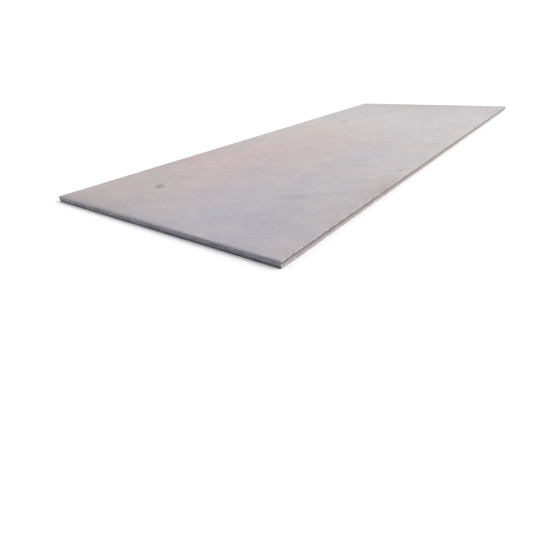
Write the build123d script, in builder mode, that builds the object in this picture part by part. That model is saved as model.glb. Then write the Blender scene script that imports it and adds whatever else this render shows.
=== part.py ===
from build123d import *
from math import atan2, degrees
import os

# A hot-rolled steel plate, cut to its stock format on a plate shear.
# It lies flat, with X along its length, Y across its width and Z up.
# The origin is at the middle of the underside. Lengths are in millimetres.

# Stock format
plate_length = 3048
plate_width = 1219
plate_thickness = 25

# Sheared edge, the same on all four sides, from the top down
# The blade drags the upper arris over and rubs a smooth land below it.
# Then the steel tears, along a crack that leans in under the plate.
rollover_radius = 2.5
land_height = 7
torn_undercut = 1.8

# Lower arris, where the burr of the cut was knocked flat
burr_flat = 0.5

torn_height = plate_thickness - rollover_radius - land_height
torn_lean = degrees(atan2(torn_undercut, torn_height))

# Plate
with BuildPart() as plate:
    # The torn band leans in, from the foot of the smooth land down to the underside.
    with BuildSketch():
        Rectangle(plate_length, plate_width)
    extrude(amount=torn_height)
    torn_sides = plate.faces().filter_by(Axis.Z, reverse=True)
    draft(torn_sides, neutral_plane=Plane.XY.offset(torn_height), angle=-torn_lean)

    # The smooth land stands upright, up to the rolled surface.
    land_foot = plate.faces().sort_by(Axis.Z)[-1]
    extrude(land_foot, amount=plate_thickness - torn_height)

    # The blade's rollover rounds the upper arris on all four sides.
    upper_arris = plate.faces().sort_by(Axis.Z)[-1].edges()
    fillet(upper_arris, radius=rollover_radius)

    # The flattened burr leaves a narrow bevel along the lower arris.
    lower_arris = plate.faces().sort_by(Axis.Z)[0].edges()
    chamfer(lower_arris, length=burr_flat)

plate.part.label = "plate"

# Output
os.makedirs("parts", exist_ok=True)
export_step(plate.part, "parts/plate.step")
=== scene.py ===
# %% [markdown]
# # A hot-rolled steel plate
# This lesson dresses one steel plate that lies flat on the floor. The plate is a single piece:
# two rolled faces covered in grey mill scale, and four edges cut on a shear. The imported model
# fixes its size and place, so the first step is to load it and measure it.

# %% Load the plate
import math
import random
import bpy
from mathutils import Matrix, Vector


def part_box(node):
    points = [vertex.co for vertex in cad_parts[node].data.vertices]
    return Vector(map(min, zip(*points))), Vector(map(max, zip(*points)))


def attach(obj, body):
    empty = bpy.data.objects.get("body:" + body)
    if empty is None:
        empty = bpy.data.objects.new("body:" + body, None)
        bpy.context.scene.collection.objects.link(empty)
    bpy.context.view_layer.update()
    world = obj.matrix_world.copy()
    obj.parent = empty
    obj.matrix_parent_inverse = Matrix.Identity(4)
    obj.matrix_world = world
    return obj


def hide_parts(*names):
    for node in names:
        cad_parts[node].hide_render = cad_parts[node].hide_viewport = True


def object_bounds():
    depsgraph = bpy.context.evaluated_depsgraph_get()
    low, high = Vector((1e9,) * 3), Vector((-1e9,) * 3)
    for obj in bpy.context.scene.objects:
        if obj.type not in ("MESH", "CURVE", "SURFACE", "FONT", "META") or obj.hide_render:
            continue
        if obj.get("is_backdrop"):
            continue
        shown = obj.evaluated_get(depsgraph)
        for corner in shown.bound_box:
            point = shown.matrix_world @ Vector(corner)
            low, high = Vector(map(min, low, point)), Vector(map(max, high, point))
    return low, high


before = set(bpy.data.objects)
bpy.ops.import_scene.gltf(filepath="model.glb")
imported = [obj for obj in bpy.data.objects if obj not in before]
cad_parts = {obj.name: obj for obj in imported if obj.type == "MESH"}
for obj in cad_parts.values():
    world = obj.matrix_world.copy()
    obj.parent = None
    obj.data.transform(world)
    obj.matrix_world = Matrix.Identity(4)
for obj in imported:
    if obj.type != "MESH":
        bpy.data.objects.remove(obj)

from types import SimpleNamespace

import bmesh
import bpy
from mathutils import Matrix, Vector, noise

cad_low, cad_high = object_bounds()
low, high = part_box("plate")
length, width, thickness = high - low
print(f"plate {length:.3f} x {width:.3f} x {thickness:.4f} m, lowest at {low.z:.4f} m")

# %% [markdown]
# ## The section of a sheared edge
# A shear leaves four bands on the edge, from the top down. The blade drags the upper arris
# over, rubs a smooth upright land, and then the steel tears along a crack that leans in
# under the plate. The burr at the bottom is knocked flat. One could bevel a cube instead,
# but a list of rows, each with its inset from the outline and its height, keeps the bands
# apart, so that each can have its own roughness later.

# %% Rows of the edge, from the underside up
rollover = 0.0025
land_height = 0.007
undercut = 0.0018
burr_flat = 0.0005
torn_height = thickness - rollover - land_height
torn_steps = 9
rollover_steps = 4
face_rings = (0.0015, 0.010)

rows = [(undercut + burr_flat, 0.0)]
for step in range(torn_steps + 1):
    height = burr_flat + (torn_height - burr_flat) * step / torn_steps
    rows.append((undercut * (1 - height / torn_height), height))
rows.append((0.0, torn_height + land_height / 2))
for step in range(rollover_steps + 1):
    angle = math.pi / 2 * step / rollover_steps
    height = thickness - rollover + rollover * math.sin(angle)
    rows.append((rollover * (1 - math.cos(angle)), height))
for ring in face_rings:
    rows.append((rollover + ring, thickness))
print(f"{len(rows)} rows, torn band {1000 * torn_height:.1f} mm high")

# %% [markdown]
# ## The body of the plate
# The underside starts as a bare rectangle of four edges. Each side is divided into narrow
# columns, because the tearing that comes later changes every few millimetres. The outline is
# filled with one face, and that face is extruded once for each row, so the whole edge comes
# from one operator and stays closed. A modifier stack could do this too, but then the rows
# would not be at hand for the relief.

# %% Outline of the underside
cells_long = 30
cells_wide = 12
columns_per_cell = 34

body = bmesh.new()
eighth_turn = Matrix.Rotation(math.radians(45), 3, "Z")
bmesh.ops.create_circle(body, segments=4, radius=math.sqrt(0.5), cap_ends=False)
bmesh.ops.rotate(body, verts=body.verts, cent=(0, 0, 0), matrix=eighth_turn)
bmesh.ops.scale(body, verts=body.verts, vec=(length, width, 1))
sides = {True: [], False: []}
for edge in body.edges:
    along_x = abs(edge.verts[0].co.y - edge.verts[1].co.y) < width / 2
    sides[along_x].append(edge)
for along_x, cells in ((True, cells_long), (False, cells_wide)):
    bmesh.ops.subdivide_edges(body, edges=sides[along_x], cuts=cells * columns_per_cell - 1)
print(f"outline of {len(body.verts)} columns, {1000 * length / cells_long / columns_per_cell:.2f} mm apart")


# %% Extrude the rows
def resize_outline(verts, inset_from, inset_to):
    """Draws an outline in, or lets it out, about the middle of the plate."""
    along = (length - 2 * inset_to) / (length - 2 * inset_from)
    across = (width - 2 * inset_to) / (width - 2 * inset_from)
    bmesh.ops.scale(body, verts=verts, vec=(along, across, 1))


inset, height = rows[0]
resize_outline(body.verts, 0, inset)
bmesh.ops.translate(body, verts=body.verts, vec=(0, 0, low.z))
bmesh.ops.contextual_create(body, geom=body.edges[:])
top_face = body.faces[:][0]
for next_inset, next_height in rows[1:]:
    made = bmesh.ops.extrude_face_region(body, geom=[top_face, *top_face.edges])
    top_face = next(piece for piece in made["geom"] if isinstance(piece, bmesh.types.BMFace))
    resize_outline(top_face.verts, inset, next_inset)
    bmesh.ops.translate(body, verts=top_face.verts, vec=(0, 0, next_height - height))
    inset, height = next_inset, next_height
bmesh.ops.recalc_face_normals(body, faces=body.faces)
print(f"{len(body.verts)} corners, {len(body.faces)} faces, volume {body.calc_volume():.5f} cubic metres")

# %% [markdown]
# ## The two rolled faces
# Each rolled face is still one polygon with thousands of corners, which a renderer would
# split into needles. Cutting it into square cells with planes, at columns that exist already,
# gives short triangles and adds no point to the edge.

# %% Cut the faces into cells
snap_distance = 1e-5


def cut_into_cells(face):
    """Cuts one large rectangle into cells that meet the columns along its sides."""
    reach_x = max(vert.co.x for vert in face.verts)
    reach_y = max(vert.co.y for vert in face.verts)
    pieces = [face, *face.edges, *face.verts]
    lengthwise = (Vector((1, 0, 0)), reach_x, cells_long)
    crosswise = (Vector((0, 1, 0)), reach_y, cells_wide)
    for normal, reach, cells in (lengthwise, crosswise):
        for cell in range(1, cells):
            place = normal * reach * (2 * cell / cells - 1)
            cut = bmesh.ops.bisect_plane(
                body, geom=pieces, dist=snap_distance, plane_co=place, plane_no=normal
            )
            pieces = cut["geom"]


for face in [face for face in body.faces if len(face.verts) > 4]:
    cut_into_cells(face)
print(f"{len(body.faces)} faces after cutting, volume {body.calc_volume():.5f} cubic metres")

# %% [markdown]
# ## Relief of the cut
# The torn band is rough, the foot of the land wanders up and down, and the rollover is deeper
# where the blade was blunt. A displacement texture could do it, but smooth noise that runs
# along the edge is easy to steer by height. The torn band and the arris are only ever cut
# back, so the plate never grows past its real size.

# %% Helpers for the relief
margin = 0.001
relief_reach = rollover + face_rings[0] + margin
side_shift = 7


def ripple(along, height, span, layer):
    """Smooth noise from -1 to 1 that changes over a span in metres, along the edge and up it."""
    return noise.noise(Vector((along / span[0], height / span[1], layer)))


def fade(value, start, end):
    """Goes smoothly from 0 at start to 1 at end."""
    share = min(max((value - start) / (end - start), 0), 1)
    return share * share * (3 - 2 * share)


def edge_place(point):
    """How far a point lies in from the nearest side, the way inwards, and its place along the sides."""
    from_end = length / 2 - abs(point.x)
    from_side = width / 2 - abs(point.y)
    inwards = Vector((-math.copysign(1, point.x), 0, 0))
    if from_side < from_end:
        inwards = Vector((0, -math.copysign(1, point.y), 0))
    # Each of the four sides reads its own stretch of the noise.
    along = point.x + point.y + side_shift * (inwards.x + 2 * inwards.y)
    return min(from_end, from_side), inwards, along


print(f"relief reaches {1000 * relief_reach:.1f} mm in from the outline")

# %% Tear the lower band and drag the upper arris
tear_depth = 0.0010
mean_share = 0.45
coarse_span = (0.019, 0.010)
coarse_share = 0.70
fine_span = (0.0062, 0.005)
fine_share = 0.60
crack_blur = 0.001
foot_wander = 0.0011
foot_span = (0.045, 1)
foot_from = 0.004
drag_depth = 0.0004
drag_span = (0.110, 1)
drag_fine_share = 0.3

for vert in body.verts:
    inset, inwards, along = edge_place(vert.co)
    if inset > relief_reach:
        continue
    height = vert.co.z - low.z
    above_crack = fade(height, torn_height - crack_blur, torn_height + crack_blur)
    torn = fade(height, 0, burr_flat) * (1 - above_crack)
    coarse = ripple(along, height, coarse_span, 1)
    fine = ripple(along, height, fine_span, 2)
    depth = tear_depth * torn * max(0, mean_share + coarse_share * coarse + fine_share * fine)
    wander = fade(height, foot_from, torn_height) * (1 - fade(height, torn_height, thickness - rollover))
    lift = foot_wander * wander * ripple(along, 0, foot_span, 3)
    drag = fade(height, thickness - rollover, thickness)
    drag = drag * (1 - fade(inset, rollover, rollover + face_rings[0]))
    drop = drag_depth * drag * max(0, ripple(along, 0, drag_span, 4) + drag_fine_share * fine)
    vert.co += inwards * depth + Vector((0, 0, lift - drop))
print(f"torn band up to {1000 * tear_depth:.1f} mm deep")

# %% [markdown]
# ## Knocks from handling
# Chains and lifting forks leave nicks along the upper arris and blunt the corners. The nicks
# could be cut with booleans, but they are few and shallow, so it is enough to push the points
# near them. A seeded random draw places them, the same in every run.

# %% Places of the nicks
draw = random.Random(20)
nick_count = 46
nick_reach = (0.005, 0.016)
nick_depth = (0.0004, 0.0014)
nick_spread = 0.97

nicks = []
for _ in range(nick_count):
    on_end = draw.random() < width / (length + width)
    reach = (width if on_end else length) / 2
    spot = draw.uniform(-nick_spread, nick_spread) * reach
    face_sign = draw.choice((-1, 1))
    place = Vector((spot, face_sign * width / 2, 0))
    if on_end:
        place = Vector((face_sign * length / 2, spot, 0))
    nicks.append((place, draw.uniform(*nick_reach), draw.uniform(*nick_depth)))
print(f"{nick_count} nicks, the deepest {1000 * max(depth for _, _, depth in nicks):.1f} mm")

# %% Blunt the corners and knock in the nicks
corner_reach = 0.009
corner_depth = 0.0016
arris_from = thickness - rollover - margin
knock_in = 0.6
knock_down = 0.8

for vert in body.verts:
    inset, inwards, _ = edge_place(vert.co)
    if inset > relief_reach:
        continue
    flat = Vector((vert.co.x, vert.co.y, 0))
    corner = Vector((math.copysign(length / 2, flat.x), math.copysign(width / 2, flat.y), 0))
    blunt = 1 - fade((flat - corner).length, 0, corner_reach)
    diagonal = Vector((-math.copysign(1, flat.x), -math.copysign(1, flat.y), 0)).normalized()
    vert.co += diagonal * corner_depth * blunt
    if vert.co.z - low.z < arris_from:
        continue
    for place, reach, depth in nicks:
        knock = 1 - fade((flat - place).length, 0, reach)
        if knock > 0:
            vert.co += (inwards * knock_in - Vector((0, 0, knock_down))) * depth * knock
print(f"4 corners blunted by up to {1000 * corner_depth:.1f} mm")


# %% [markdown]
# ## Shader maths in plain Python
# Node trees are easier to read as formulas. One small class wraps a socket: adding or
# multiplying wires makes the Math nodes, and its node method makes any other node.

# %% A wire between nodes
class Wire:
    """One output of a node. Arithmetic on wires adds the Math nodes that work it out."""

    def __init__(self, tree, socket=None):
        self.tree = tree
        self.socket = socket

    def node(self, kind, settings=None, inputs=None, output=0):
        """Adds a node: its settings first, then a value or a wire for each of its sockets."""
        made = self.tree.nodes.new(kind)
        for name, value in (settings or {}).items():
            setattr(made, name, value)
        for name, value in (inputs or {}).items():
            if isinstance(value, Wire):
                self.tree.links.new(value.socket, made.inputs[name])
            else:
                made.inputs[name].default_value = value
        return Wire(self.tree, made.outputs[output])

    def math(self, operation, first, second):
        return self.node("ShaderNodeMath", {"operation": operation}, {0: first, 1: second})

    def __add__(self, other):
        return self.math("ADD", self, other)

    def __sub__(self, other):
        return self.math("SUBTRACT", self, other)

    def __rsub__(self, other):
        return self.math("SUBTRACT", other, self)

    def __mul__(self, other):
        return self.math("MULTIPLY", self, other)

    __radd__ = __add__
    __rmul__ = __mul__


print("wires can be added, subtracted and multiplied")


# %% Masks and colours
def rise(value, start, end):
    """A mask that goes smoothly from 0, where value is start, to 1, where it is end."""
    settings = {"interpolation_type": "SMOOTHSTEP"}
    return value.node("ShaderNodeMapRange", settings, {"Value": value, "From Min": start, "From Max": end})


def blend(mask, under, over):
    """Colour under where the mask is 0, and colour over where it is 1."""
    # A Mix node takes its two colours at inputs 6 and 7, and gives their mix at output 2.
    sockets = {0: mask}
    for socket, colour in ((6, under), (7, over)):
        sockets[socket] = (*colour, 1) if isinstance(colour, tuple) else colour
    return mask.node("ShaderNodeMix", {"data_type": "RGBA"}, sockets, output=2)


def tint(colour, factor):
    """A colour made darker or lighter by a factor that changes over the surface."""
    return factor.node("ShaderNodeVectorMath", {"operation": "SCALE"}, {0: colour, "Scale": factor})


def axis(where, name):
    """One coordinate of a place."""
    return where.node("ShaderNodeSeparateXYZ", None, {"Vector": where}, name)


print("helpers: rise, blend, tint and axis")


# %% Noise in metres, and a new finish
def cloud(where, size, turn=0, shift=0, detail=3.0, roughness=0.5):
    """Noise about 0, from about -1 to 1, with features of a given size in metres, turned about Z."""
    reach = (size, size, size) if isinstance(size, float) else size
    sockets = {
        "Vector": where,
        "Location": (shift, shift, 0),
        "Rotation": (0, 0, math.radians(turn)),
        "Scale": reach,
    }
    mapped = where.node("ShaderNodeMapping", {"vector_type": "TEXTURE"}, sockets)
    texture = {"Vector": mapped, "Scale": 1.0, "Detail": detail, "Roughness": roughness}
    return where.node("ShaderNodeTexNoise", None, texture) * 4 - 2


def new_finish(name):
    """A material with a plain shader, and a wire that carries the piece's own coordinates."""
    material = bpy.data.materials.new(name)
    material.use_nodes = True
    tree = material.node_tree
    coordinates = Wire(tree).node("ShaderNodeTexCoord", output="Object")
    return material, tree.nodes["Principled BSDF"], coordinates


def feed(shader, **sockets):
    """Links wires to the shader's sockets, whose names have spaces where these have underscores."""
    for name, wire in sockets.items():
        wire.tree.links.new(wire.socket, shader.inputs[name.replace("_", " ")])


print("helpers: cloud, new_finish and feed")

# %% [markdown]
# ## Mill scale
# Hot steel grows a skin of grey oxide between the rolls. It is satin, not shiny, and cloudy:
# warmer where it has begun to rust, bluer where it is dense, with faint bands along the rolling
# direction, islands of thicker scale, flakes, pits and dots of rust. A picture could be laid
# on it, but noise stays sharp at any distance. The finish starts with noise at several sizes,
# from clouds half a metre wide down to single grains.

# %% Patterns in the scale
scale_finish, scale_shader, where = new_finish("mill_scale")
scale = SimpleNamespace(
    clouds=cloud(where, 0.45, detail=5),
    drift=cloud(where, 0.22, shift=3, detail=5, roughness=0.6),
    mottle=cloud(where, 0.050, detail=4, roughness=0.6),
    bands=cloud(where, (2.0, 0.11, 1.0), detail=4),
    scuffs=cloud(where, (0.26, 0.022, 1.0), turn=-64, detail=4, roughness=0.6),
    streaks=cloud(where, (0.10, 0.009, 1.0), turn=-52, shift=5, detail=3, roughness=0.6),
    islands=cloud(where, 0.060, shift=7, detail=8, roughness=0.65),
    crumbs=cloud(where, 0.013, detail=3, roughness=0.6),
    grain=cloud(where, 0.0035, detail=3, roughness=0.7),
)
print(f"{len(vars(scale))} patterns")

# %% [markdown]
# ## Colour of the scale
# The broad differences of colour lie at real places on the plate, and noise alone would put
# them anywhere. So each is a soft ellipse on the upper face, in metres from the middle, and
# noise breaks up its outline. One of them is a painted sheen, which makes the upper face lighter
# towards the far end and the right side. The colours are then laid over each other in thin layers.

# %% Soft patches on the upper face
haze_depth = thickness / 4


def haze(place, reach, turn=0, uneven=0):
    """A soft elliptical mask on the upper face, strongest at its middle."""
    sockets = {
        "Vector": where,
        "Location": (*place, high.z),
        "Rotation": (0, 0, math.radians(turn)),
        "Scale": (*reach, haze_depth),
    }
    local = where.node("ShaderNodeMapping", {"vector_type": "TEXTURE"}, sockets)
    away = where.node("ShaderNodeVectorMath", {"operation": "LENGTH"}, {0: local}, output="Value")
    return 1 - rise(away + uneven, 0.0, 1.0)


def join(*masks):
    """The strongest of several masks at each point."""
    strongest = masks[0]
    for mask in masks[1:]:
        strongest = where.math("MAXIMUM", strongest, mask)
    return strongest


print("helpers: haze and join")

# %% Where the colours lie
cool = haze((-1.52, 0.08), (0.42, 0.42))
dense = join(haze((-1.45, -0.28), (1.25, 0.80)), cool, haze((-0.38, -0.26), (0.45, 0.22)))
dense = dense * rise(scale.clouds * 0.6 - scale.drift, -1.0, 0.6)
# Painted sheen: the upper face is made lighter towards the far end and the right side.
painted_sheen = join(haze((0.55, -0.20), (1.85, 1.30)), haze((-0.50, -0.70), (1.40, 0.70)))
rubbed = haze((0.45, -0.66), (1.50, 0.44)) * rise(scale.drift + scale.bands, -1.2, 0.6)
tinge = rise(scale.drift * 0.8 + scale.mottle * 0.4 - scale.clouds * 0.4, -0.5, 0.8) * (1 - cool)
warm = haze((0.06, 0.28), (1.00, 0.56)) * rise(scale.drift + scale.clouds * 0.5, -1.0, 0.4)
ochre = join(haze((-0.02, 0.22), (0.62, 0.42)), haze((-1.35, 0.48), (0.42, 0.34)))
ochre = ochre * rise(scale.drift - scale.clouds * 0.3, -0.5, 0.6)
rusty_patch = haze((-0.80, -0.60), (0.25, 0.12), uneven=scale.mottle * 0.15)
rust = haze((-0.68, 0.29), (1.32, 0.70), turn=-18) * (1 - cool * 0.7)
rust = rust * (rise(scale.clouds + scale.drift * 0.8, -0.9, 0.7) * 0.85 + 0.2)
sooty = join(
    haze((-1.50, 0.44), (0.60, 0.62)),
    haze((-0.95, 0.68), (1.10, 0.36)),
    haze((1.52, 0.05), (0.40, 0.65)),
)
print(f"{len(scale_finish.node_tree.nodes)} nodes so far")

# %% Lay the colours over each other
bare_scale = (0.340, 0.310, 0.315)
layers = (
    (dense, 1.0, (0.325, 0.314, 0.366)),
    # Painted sheen, lighter towards the far end and the right side.
    (painted_sheen, 1.0, (0.406, 0.378, 0.387)),
    (rubbed, 0.7, (0.484, 0.440, 0.442)),
    (tinge, 0.22, (0.420, 0.350, 0.345)),
    (warm, 0.9, (0.422, 0.358, 0.340)),
    (ochre, 0.8, (0.372, 0.334, 0.304)),
    (rusty_patch, 0.7, (0.330, 0.255, 0.248)),
    (rust, 1.0, (0.425, 0.328, 0.328)),
    (sooty, 0.6, (0.298, 0.242, 0.238)),
)
scale_colour = bare_scale
for mask, strength, paint in layers:
    scale_colour = blend(mask * strength, scale_colour, paint)
print(f"{len(layers)} layers of colour")

# %% [markdown]
# ## Marks, scratches and wear
# Handling leaves dark smudges, thin bright scratches and a rubbed border, and the upper face
# is darker and bluer along the near end. Smudges have places of their own, each with its
# reach, turn and strength.
# Scratches could be drawn one by one, but the line where stretched noise crosses zero is
# already thin, long and slightly bent, so it only has to be broken into pieces.

# %% Marks from handling
dark_marks = (
    ((-1.21, 0.30), (0.054, 0.042), 39, 0.62),
    ((0.54, 0.30), (0.110, 0.060), 10, 0.34),
    ((-1.06, -0.33), (0.130, 0.060), -64, 0.16),
    ((-0.96, -0.45), (0.120, 0.040), -60, 0.13),
    ((-0.63, 0.11), (0.140, 0.035), -66, 0.18),
    ((-0.54, -0.38), (0.150, 0.030), -60, 0.15),
    ((-0.55, -0.56), (0.020, 0.016), 0, 0.60),
)
uneven = scale.mottle * 0.22 + scale.crumbs * 0.12
ragged = scale.crumbs * 0.40 + scale.grain * 0.22
smudges = []
for place, reach, turn, strength in dark_marks:
    soft = haze(place, reach, turn, uneven)
    blotchy = rise(soft + ragged, 0.32, 0.68)
    smudges.append((soft * 0.45 + blotchy * 0.55) * strength)
marks = join(*smudges)
specks = haze((-1.12, -0.575), (0.170, 0.060)) * rise(scale.crumbs + scale.grain * 0.3, 0.0, 0.7)
print(f"{len(dark_marks)} marks and one patch of specks")

# %% Scratches
scratch_turns = (4, -31, -64)
scratch_size = (1.1, 0.055, 1.0)
break_size = (0.30, 0.12, 1.0)
scratch_width = 0.04

scratch_lines = []
for turn in scratch_turns:
    away = where.math("ABSOLUTE", cloud(where, scratch_size, turn=turn, shift=turn, detail=1), 0)
    broken = rise(cloud(where, break_size, turn=turn, shift=turn + 9), 0.25, 0.75)
    scratch_lines.append((1 - rise(away, 0.0, scratch_width)) * broken)
scratches = join(*scratch_lines)
print(f"scratches in {len(scratch_turns)} directions")

# %% Wear beside the edges, and a darker band along the near end
worn_reach = 0.034
near_end_band_narrow = (0.002, 0.014)
near_end_band_wide = 0.130

from_end = length / 2 - where.math("ABSOLUTE", axis(where, "X"), 0)
from_side = width / 2 - where.math("ABSOLUTE", axis(where, "Y"), 0)
from_edge = where.math("MINIMUM", from_end, from_side)
worn = 1 - rise(from_edge + (scale.crumbs + scale.mottle) * 0.006, 0.0, worn_reach)

# A darker, bluer band along the near end of the upper face, wider towards the left.
from_near_end = axis(where, "X") - low.x
leftwards = rise(axis(where, "Y"), -0.3, 0.3)
narrow_near_end_band = 1 - rise(from_near_end + scale.mottle * 0.002 - leftwards * 0.010, *near_end_band_narrow)
wide_near_end_band = 1 - rise(from_near_end + scale.mottle * 0.02, 0.0, near_end_band_wide)
near_end_band = narrow_near_end_band * 0.42 + wide_near_end_band * (leftwards * 0.22 + 0.05)
print(f"wear {1000 * worn_reach:.0f} mm wide, dirt up to {1000 * near_end_band_wide:.0f} mm wide")

# %% [markdown]
# ## The whole skin
# The last patterns are the smallest: steps where the scale is thicker, bright flakes, pits and
# dots of rust. Then everything comes together. Light and dark come from the patterns, each
# with a weight, the marks lie on top, and the same masks change the roughness and the bump, so
# that a flake or a scratch also catches the light.

# %% Steps, flakes, pits and dots
thick = rise(scale.islands, 0.10, 0.13) + rise(scale.islands, -0.45, -0.42)
flakes = rise(scale.islands + scale.drift * 0.4, 0.95, 1.02)
pits = rise(scale.crumbs + scale.grain * 0.4 - scale.drift * 0.25, 0.85, 1.10)
dots = rise(cloud(where, 0.006, shift=11, detail=2), 0.65, 0.95) * (rust * 0.8 + 0.2)
bright_wear = worn * rise(scale.crumbs + scale.streaks * 0.5, 0.35, 0.85)
print(f"{len(scale_finish.node_tree.nodes)} nodes so far")


# %% Light, dark and marks
def weigh(**weights):
    """Adds up patterns of the scale, each times its weight."""
    parts = [getattr(scale, name) * weight for name, weight in weights.items()]
    return sum(parts[1:], parts[0])


mean_shade = 0.965
broad_shade = weigh(clouds=0.06, drift=0.07, mottle=0.04, bands=0.03) + thick * 0.035
fine_shade = weigh(scuffs=0.045, streaks=0.03, crumbs=0.035, grain=0.06)
worn_shade = worn * weigh(crumbs=0.16, streaks=0.08)
scale_colour = tint(scale_colour, mean_shade + broad_shade + fine_shade + worn_shade)
spots = (
    (bright_wear, 0.4, (0.54, 0.51, 0.51)),
    (flakes, 0.30, (0.46, 0.44, 0.44)),
    (scratches, 0.28, (0.52, 0.50, 0.50)),
    (dots, 0.35, (0.215, 0.138, 0.112)),
    (join(pits * 0.9, specks), 0.5, (0.13, 0.105, 0.10)),
    (marks, 1.0, (0.088, 0.068, 0.065)),
    # The darker, bluer band along the near end.
    (near_end_band, 1.0, (0.150, 0.145, 0.165)),
)
for mask, strength, paint in spots:
    scale_colour = blend(mask * strength, scale_colour, paint)
print(f"{len(spots)} kinds of spots and marks")

# %% Roughness and bump
mean_roughness = 0.47
roughness = mean_roughness + weigh(clouds=0.03, bands=0.02, mottle=0.02, scuffs=0.03)
roughness = roughness + rust * 0.05 + dots * 0.1 - thick * 0.015 - flakes * 0.06
relief = weigh(grain=0.00005, crumbs=0.00008, mottle=0.00012, bands=0.0004)
relief = relief + thick * 0.00005 - (flakes + scratches + pits) * 0.00008
bump = where.node("ShaderNodeBump", None, {"Strength": 0.6, "Distance": 1.0, "Height": relief})
feed(scale_shader, Base_Color=scale_colour, Roughness=roughness, Normal=bump)
scale_shader.inputs["Metallic"].default_value = 0.2
scale_shader.inputs["IOR"].default_value = 1.7
print(f"mill_scale has {len(scale_finish.node_tree.nodes)} nodes")

# %% [markdown]
# ## Cut steel
# The four edges show bare steel in bands: a rubbed arris whose colour also holds a painted
# highlight in places, a dark land with fine upright scores, a grainy torn band that changes
# towards its foot, which on the ends is darkened as painted shade, and a dark bottom line,
# which is a painted contact shadow. Each band could be a material of its own, but then its
# borders would follow the mesh. Here the height on the edge makes the bands, and noise moves
# their borders.
# The place along any edge is x + y, because one of the two stays the same on each side.


# %% Patterns along a cut
def cut_patterns(where):
    """Height on the edge, and noise laid out along it and up it, in metres."""
    height = axis(where, "Z")
    along = axis(where, "X") + axis(where, "Y")
    edge = where.node("ShaderNodeCombineXYZ", None, {"X": along, "Y": height})
    return SimpleNamespace(
        height=height,
        stretches=cloud(edge, (0.16, 0.020, 1.0), detail=4),
        patches=cloud(edge, (0.045, 0.005, 1.0), detail=4, roughness=0.6),
        flecks=cloud(edge, (0.030, 0.004, 1.0), shift=2, detail=4, roughness=0.6),
        speckle=cloud(edge, (0.014, 0.006, 1.0), shift=5, detail=4, roughness=0.65),
        scores=cloud(edge, (0.0016, 0.020, 1.0), detail=4, roughness=0.7),
        tears=cloud(edge, (0.0045, 0.011, 1.0), detail=4, roughness=0.65),
        crystals=cloud(edge, 0.0017, detail=3, roughness=0.7),
    )


print("helper: cut_patterns")

# %% Bands of a cut
crack_softness = 0.0006
foot_and_shade_heights = (0.003, 0.012)
base_shadow_heights = (0.0008, 0.0020)
arris_highlight_heights = (thickness - rollover * 0.85, thickness - rollover * 0.40)


def cut_bands(cut):
    """Masks of the torn band, the lower band (painted shade on the ends), the bottom line (painted contact
    shadow) and the rubbed top edge (with a painted highlight), with uneven borders.
    """
    level = cut.height + cut.stretches * 0.0008 + cut.tears * 0.0007
    arris_highlight_level = cut.height + cut.flecks * 0.0005 + cut.crystals * 0.0002
    return SimpleNamespace(
        torn=1 - rise(level, torn_height - crack_softness, torn_height + crack_softness),
        # The lower band: a pale foot on the sides, and painted shade on the ends.
        foot_and_shade=1 - rise(level, *foot_and_shade_heights),
        # A painted contact shadow along the bottom of each edge.
        base_shadow=1 - rise(level, *base_shadow_heights),
        # The rubbed arris is bare steel, and its light colour also holds a painted highlight.
        arris_and_highlight=rise(arris_highlight_level, *arris_highlight_heights) * rise(cut.flecks + cut.speckle * 0.5, -0.9, 0.5),
    )


print(f"crack at {1000 * torn_height:.1f} mm, arris from {1000 * arris_highlight_heights[0]:.1f} mm up")


# %% Cut edge finish
darkest_shade = 0.2


def cut_edge(name, contrast, arris_and_highlight, land, torn, foot_and_shade, base_shadow, chip):
    """Bare cut steel, in bands of the given colours, more blotchy with more contrast."""
    material, shader, where = new_finish(name)
    cut = cut_patterns(where)
    on = cut_bands(cut)
    # The lower band takes its colour here, which on the ends is a painted shade.
    colour = blend(on.foot_and_shade, blend(on.torn, land, torn), foot_and_shade)
    shade = cut.stretches * 0.16 + cut.patches * 0.22 + cut.speckle * 0.28
    shade = shade + cut.scores * (1 - on.torn) * 0.10 + (cut.tears * 0.15 + cut.crystals * 0.13) * on.torn
    colour = tint(colour, where.math("MAXIMUM", 1 + shade * contrast, darkest_shade))
    chipped = rise(cut.patches + cut.speckle * 0.5, 0.60, 1.1) * (on.torn * 0.5 + 0.2)
    colour = blend(chipped, colour, chip)
    # Painted contact shadow along the bottom.
    colour = blend(on.base_shadow, colour, base_shadow)
    # Rubbed arris, with a painted highlight.
    colour = blend(on.arris_and_highlight, colour, arris_and_highlight)
    roughness = 0.40 + on.torn * 0.2 + cut.crystals * 0.06
    relief = (cut.tears * 0.00035 + cut.crystals * 0.00014) * on.torn + cut.scores * 0.00003
    bump = where.node("ShaderNodeBump", None, {"Strength": 1.0, "Distance": 1.0, "Height": relief})
    feed(shader, Base_Color=colour, Roughness=roughness, Normal=bump)
    shader.inputs["Metallic"].default_value = 0.3
    shader.inputs["Specular IOR Level"].default_value = 0.25
    print(f"{name} has {len(material.node_tree.nodes)} nodes")
    return material


# %% [markdown]
# ## Two cuts
# The ends are a darker, bluer copy of the cut finish of the long sides, which is painted shade.
# The sides are warm and pale towards the foot. The ends are more blotchy, and their lower band
# is painted dark as contact shadow. Two copies of one material could be painted over, but one
# function that takes the colours and the contrast makes both finishes alike in everything
# else.

# %% Colours of the sides and the ends
side_cut = cut_edge(
    "side_cut",
    contrast=1.0,
    # Rubbed arris, with a painted highlight.
    arris_and_highlight=(0.60, 0.56, 0.56),
    land=(0.178, 0.162, 0.161),
    torn=(0.318, 0.288, 0.282),
    foot_and_shade=(0.475, 0.433, 0.419),
    # Painted contact shadow line at the bottom.
    base_shadow=(0.19, 0.17, 0.16),
    chip=(0.62, 0.59, 0.57),
)
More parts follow.
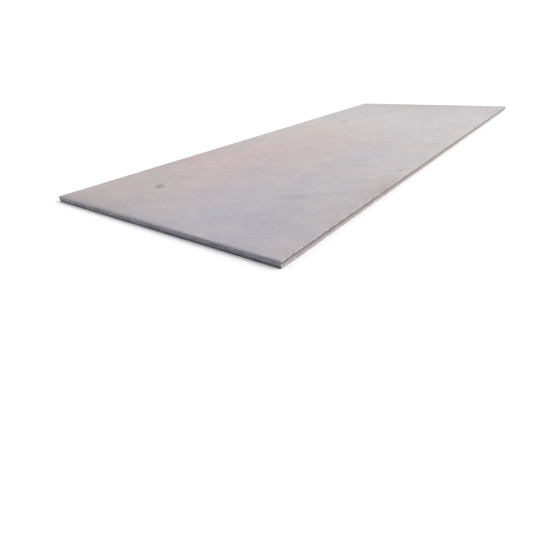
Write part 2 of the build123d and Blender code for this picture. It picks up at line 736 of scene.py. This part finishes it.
# The ends: a darker, bluer copy of the cut finish, which is painted shade.
shaded_end_cut = cut_edge(
    "shaded_end_cut",
    contrast=1.7,
    # Rubbed arris, with a painted highlight.
    arris_and_highlight=(0.310, 0.300, 0.328),
    land=(0.186, 0.179, 0.203),
    torn=(0.190, 0.183, 0.208),
    # Painted shade: the lower band of the ends darkened as contact shadow.
    foot_and_shade=(0.095, 0.092, 0.107),
    # Painted contact shadow line at the bottom, darker still.
    base_shadow=(0.040, 0.038, 0.046),
    chip=(0.30, 0.29, 0.31),
)

# %% [markdown]
# ## The finished plate
# One could pick the faces of each finish by hand, but the way a face points already tells a
# rolled face from a cut one, and a side from an end. The finished piece stands for the plain
# solid, so that one is hidden, and it moves with the only body that the part has.

# %% Choose a finish for each face
finishes = (scale_finish, side_cut, shaded_end_cut)
rolled_limit = 0.98
bmesh.ops.recalc_face_normals(body, faces=body.faces)
for face in body.faces:
    face.smooth = True
    if abs(face.normal.z) < rolled_limit:
        on_end = abs(face.normal.x) > abs(face.normal.y)
        face.material_index = finishes.index(shaded_end_cut if on_end else side_cut)
print(f"{sum(face.material_index > 0 for face in body.faces)} of {len(body.faces)} faces are cut steel")

# %% Make the piece
sharp_angle = math.radians(38)
plate_mesh = bpy.data.meshes.new("steel_plate")
body.to_mesh(plate_mesh)
body.free()
plate_mesh.set_sharp_from_angle(angle=sharp_angle)
for material in finishes:
    plate_mesh.materials.append(material)
plate = bpy.data.objects.new("steel_plate", plate_mesh)
bpy.context.scene.collection.objects.link(plate)
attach(plate, "root")
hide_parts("plate")
plate_mesh.calc_loop_triangles()
print(f"steel_plate has {len(plate_mesh.loop_triangles)} triangles")

# %% [markdown]
# ## The studio
# A plain white floor and a pale dome of light stand in for a photographer's studio. The dome
# is brighter on the far side and cooler behind the camera, so the near end lies in soft shade,
# and it is white just above the horizon, so that the floor has no visible end. One broad lamp
# on the right lights the long side. It is kept out of reflections, because a satin plate would
# show it as one large glare from behind.

# %% Floor
floor_reach = 60.0
floor_shape = bmesh.new()
bmesh.ops.create_grid(floor_shape, x_segments=1, y_segments=1, size=floor_reach)
bmesh.ops.translate(floor_shape, verts=floor_shape.verts, vec=(0, 0, low.z))
floor_mesh = bpy.data.meshes.new("floor")
floor_shape.to_mesh(floor_mesh)
floor_shape.free()
floor = bpy.data.objects.new("floor", floor_mesh)
bpy.context.scene.collection.objects.link(floor)
floor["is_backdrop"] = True

floor_paint, floor_shader, on_floor = new_finish("floor_paint")
floor_white = blend(rise(cloud(on_floor, 1.4), -2, 2), (0.87, 0.87, 0.87), (0.89, 0.89, 0.89))
feed(floor_shader, Base_Color=floor_white)
floor_shader.inputs["Roughness"].default_value = 0.9
floor_shader.inputs["Specular IOR Level"].default_value = 0.1
floor_mesh.materials.append(floor_paint)
print(f"floor {2 * floor_reach:.0f} m square")

# %% Dome
far_side = Vector((0.9, 0.35, 0.25)).normalized()
far_horizon = (1.7, 1.7, 1.7)
far_above = (0.75, 0.75, 0.77)
near_horizon = (1.05, 1.05, 1.05)
near_above = (0.62, 0.64, 0.68)

world = bpy.data.worlds.new("studio_dome")
world.use_nodes = True
bpy.context.scene.world = world
towards = Wire(world.node_tree).node("ShaderNodeTexCoord", output="Generated")
upwards = axis(towards, "Z")
dot_product = {"operation": "DOT_PRODUCT"}
facing = towards.node("ShaderNodeVectorMath", dot_product, {0: towards, 1: far_side}, "Value")
far_light = blend(rise(upwards, 0.10, 0.60), far_horizon, far_above)
near_light = blend(rise(upwards, 0.05, 0.40), near_horizon, near_above)
dome = blend(rise(facing, -0.75, 0.45), near_light, far_light)
world.node_tree.links.new(dome.socket, world.node_tree.nodes["Background"].inputs["Color"])
print(f"dome with {len(world.node_tree.nodes)} nodes")

# %% Lamp
lamp_from = Vector((0.35, -0.80, 0.70))
lamp_data = bpy.data.lights.new("broad_lamp", "SUN")
lamp_data.energy = 2.2
lamp_data.angle = math.radians(35)
lamp_data.color = (1.0, 0.97, 0.93)
lamp = bpy.data.objects.new("broad_lamp", lamp_data)
lamp.rotation_euler = lamp_from.to_track_quat("Z", "Y").to_euler()
lamp.visible_glossy = False
bpy.context.scene.collection.objects.link(lamp)
lamp_height = math.degrees(math.asin(lamp_from.normalized().z))
print(f"one lamp, {lamp_height:.0f} degrees above the floor")

# %% [markdown]
# ## The camera
# The picture was taken from close to the near corner with a wide lens, about 30 degrees down.
# A camera can be turned by eye until the picture looks right, but here its place, direction
# and lens were worked out from the four corners of the upper face, so all of them fit at once.

# %% Camera
camera_place = Vector((-2.282, -1.194, 0.531))
camera_azimuth = math.radians(38.78)
camera_pitch = math.radians(29.71)
camera_roll = math.radians(-3.99)
picture_side = 550
focal_pixels = 395

forward = Vector((
    math.cos(camera_azimuth) * math.cos(camera_pitch),
    math.sin(camera_azimuth) * math.cos(camera_pitch),
    -math.sin(camera_pitch),
))
camera_data = bpy.data.cameras.new("camera")
camera_data.sensor_width = 36.0
camera_data.lens = focal_pixels / picture_side * camera_data.sensor_width
camera_data.clip_start = 0.01
camera_data.clip_end = 2 * floor_reach
camera = bpy.data.objects.new("camera", camera_data)
level_turn = forward.to_track_quat("-Z", "Y").to_matrix()
camera_turn = level_turn @ Matrix.Rotation(camera_roll, 3, "Z")
camera.matrix_world = Matrix.Translation(camera_place) @ camera_turn.to_4x4()
bpy.context.scene.collection.objects.link(camera)
bpy.context.scene.camera = camera
bpy.context.scene.view_settings.view_transform = "Standard"
print(f"lens {camera_data.lens:.2f} mm at {camera_place.z:.2f} m")

# %% [markdown]
# ## Last measures
# The dressed plate has to fill the box of the imported model and no more. How much it grows
# past that box is printed, so that a change of size shows at once.

# %% Print how much the plate grew past the box, and finish
shown_low, shown_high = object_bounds()
grown = (shown_high - shown_low) - (cad_high - cad_low)
print("grown by", [round(1000 * side, 3) for side in grown], "mm")
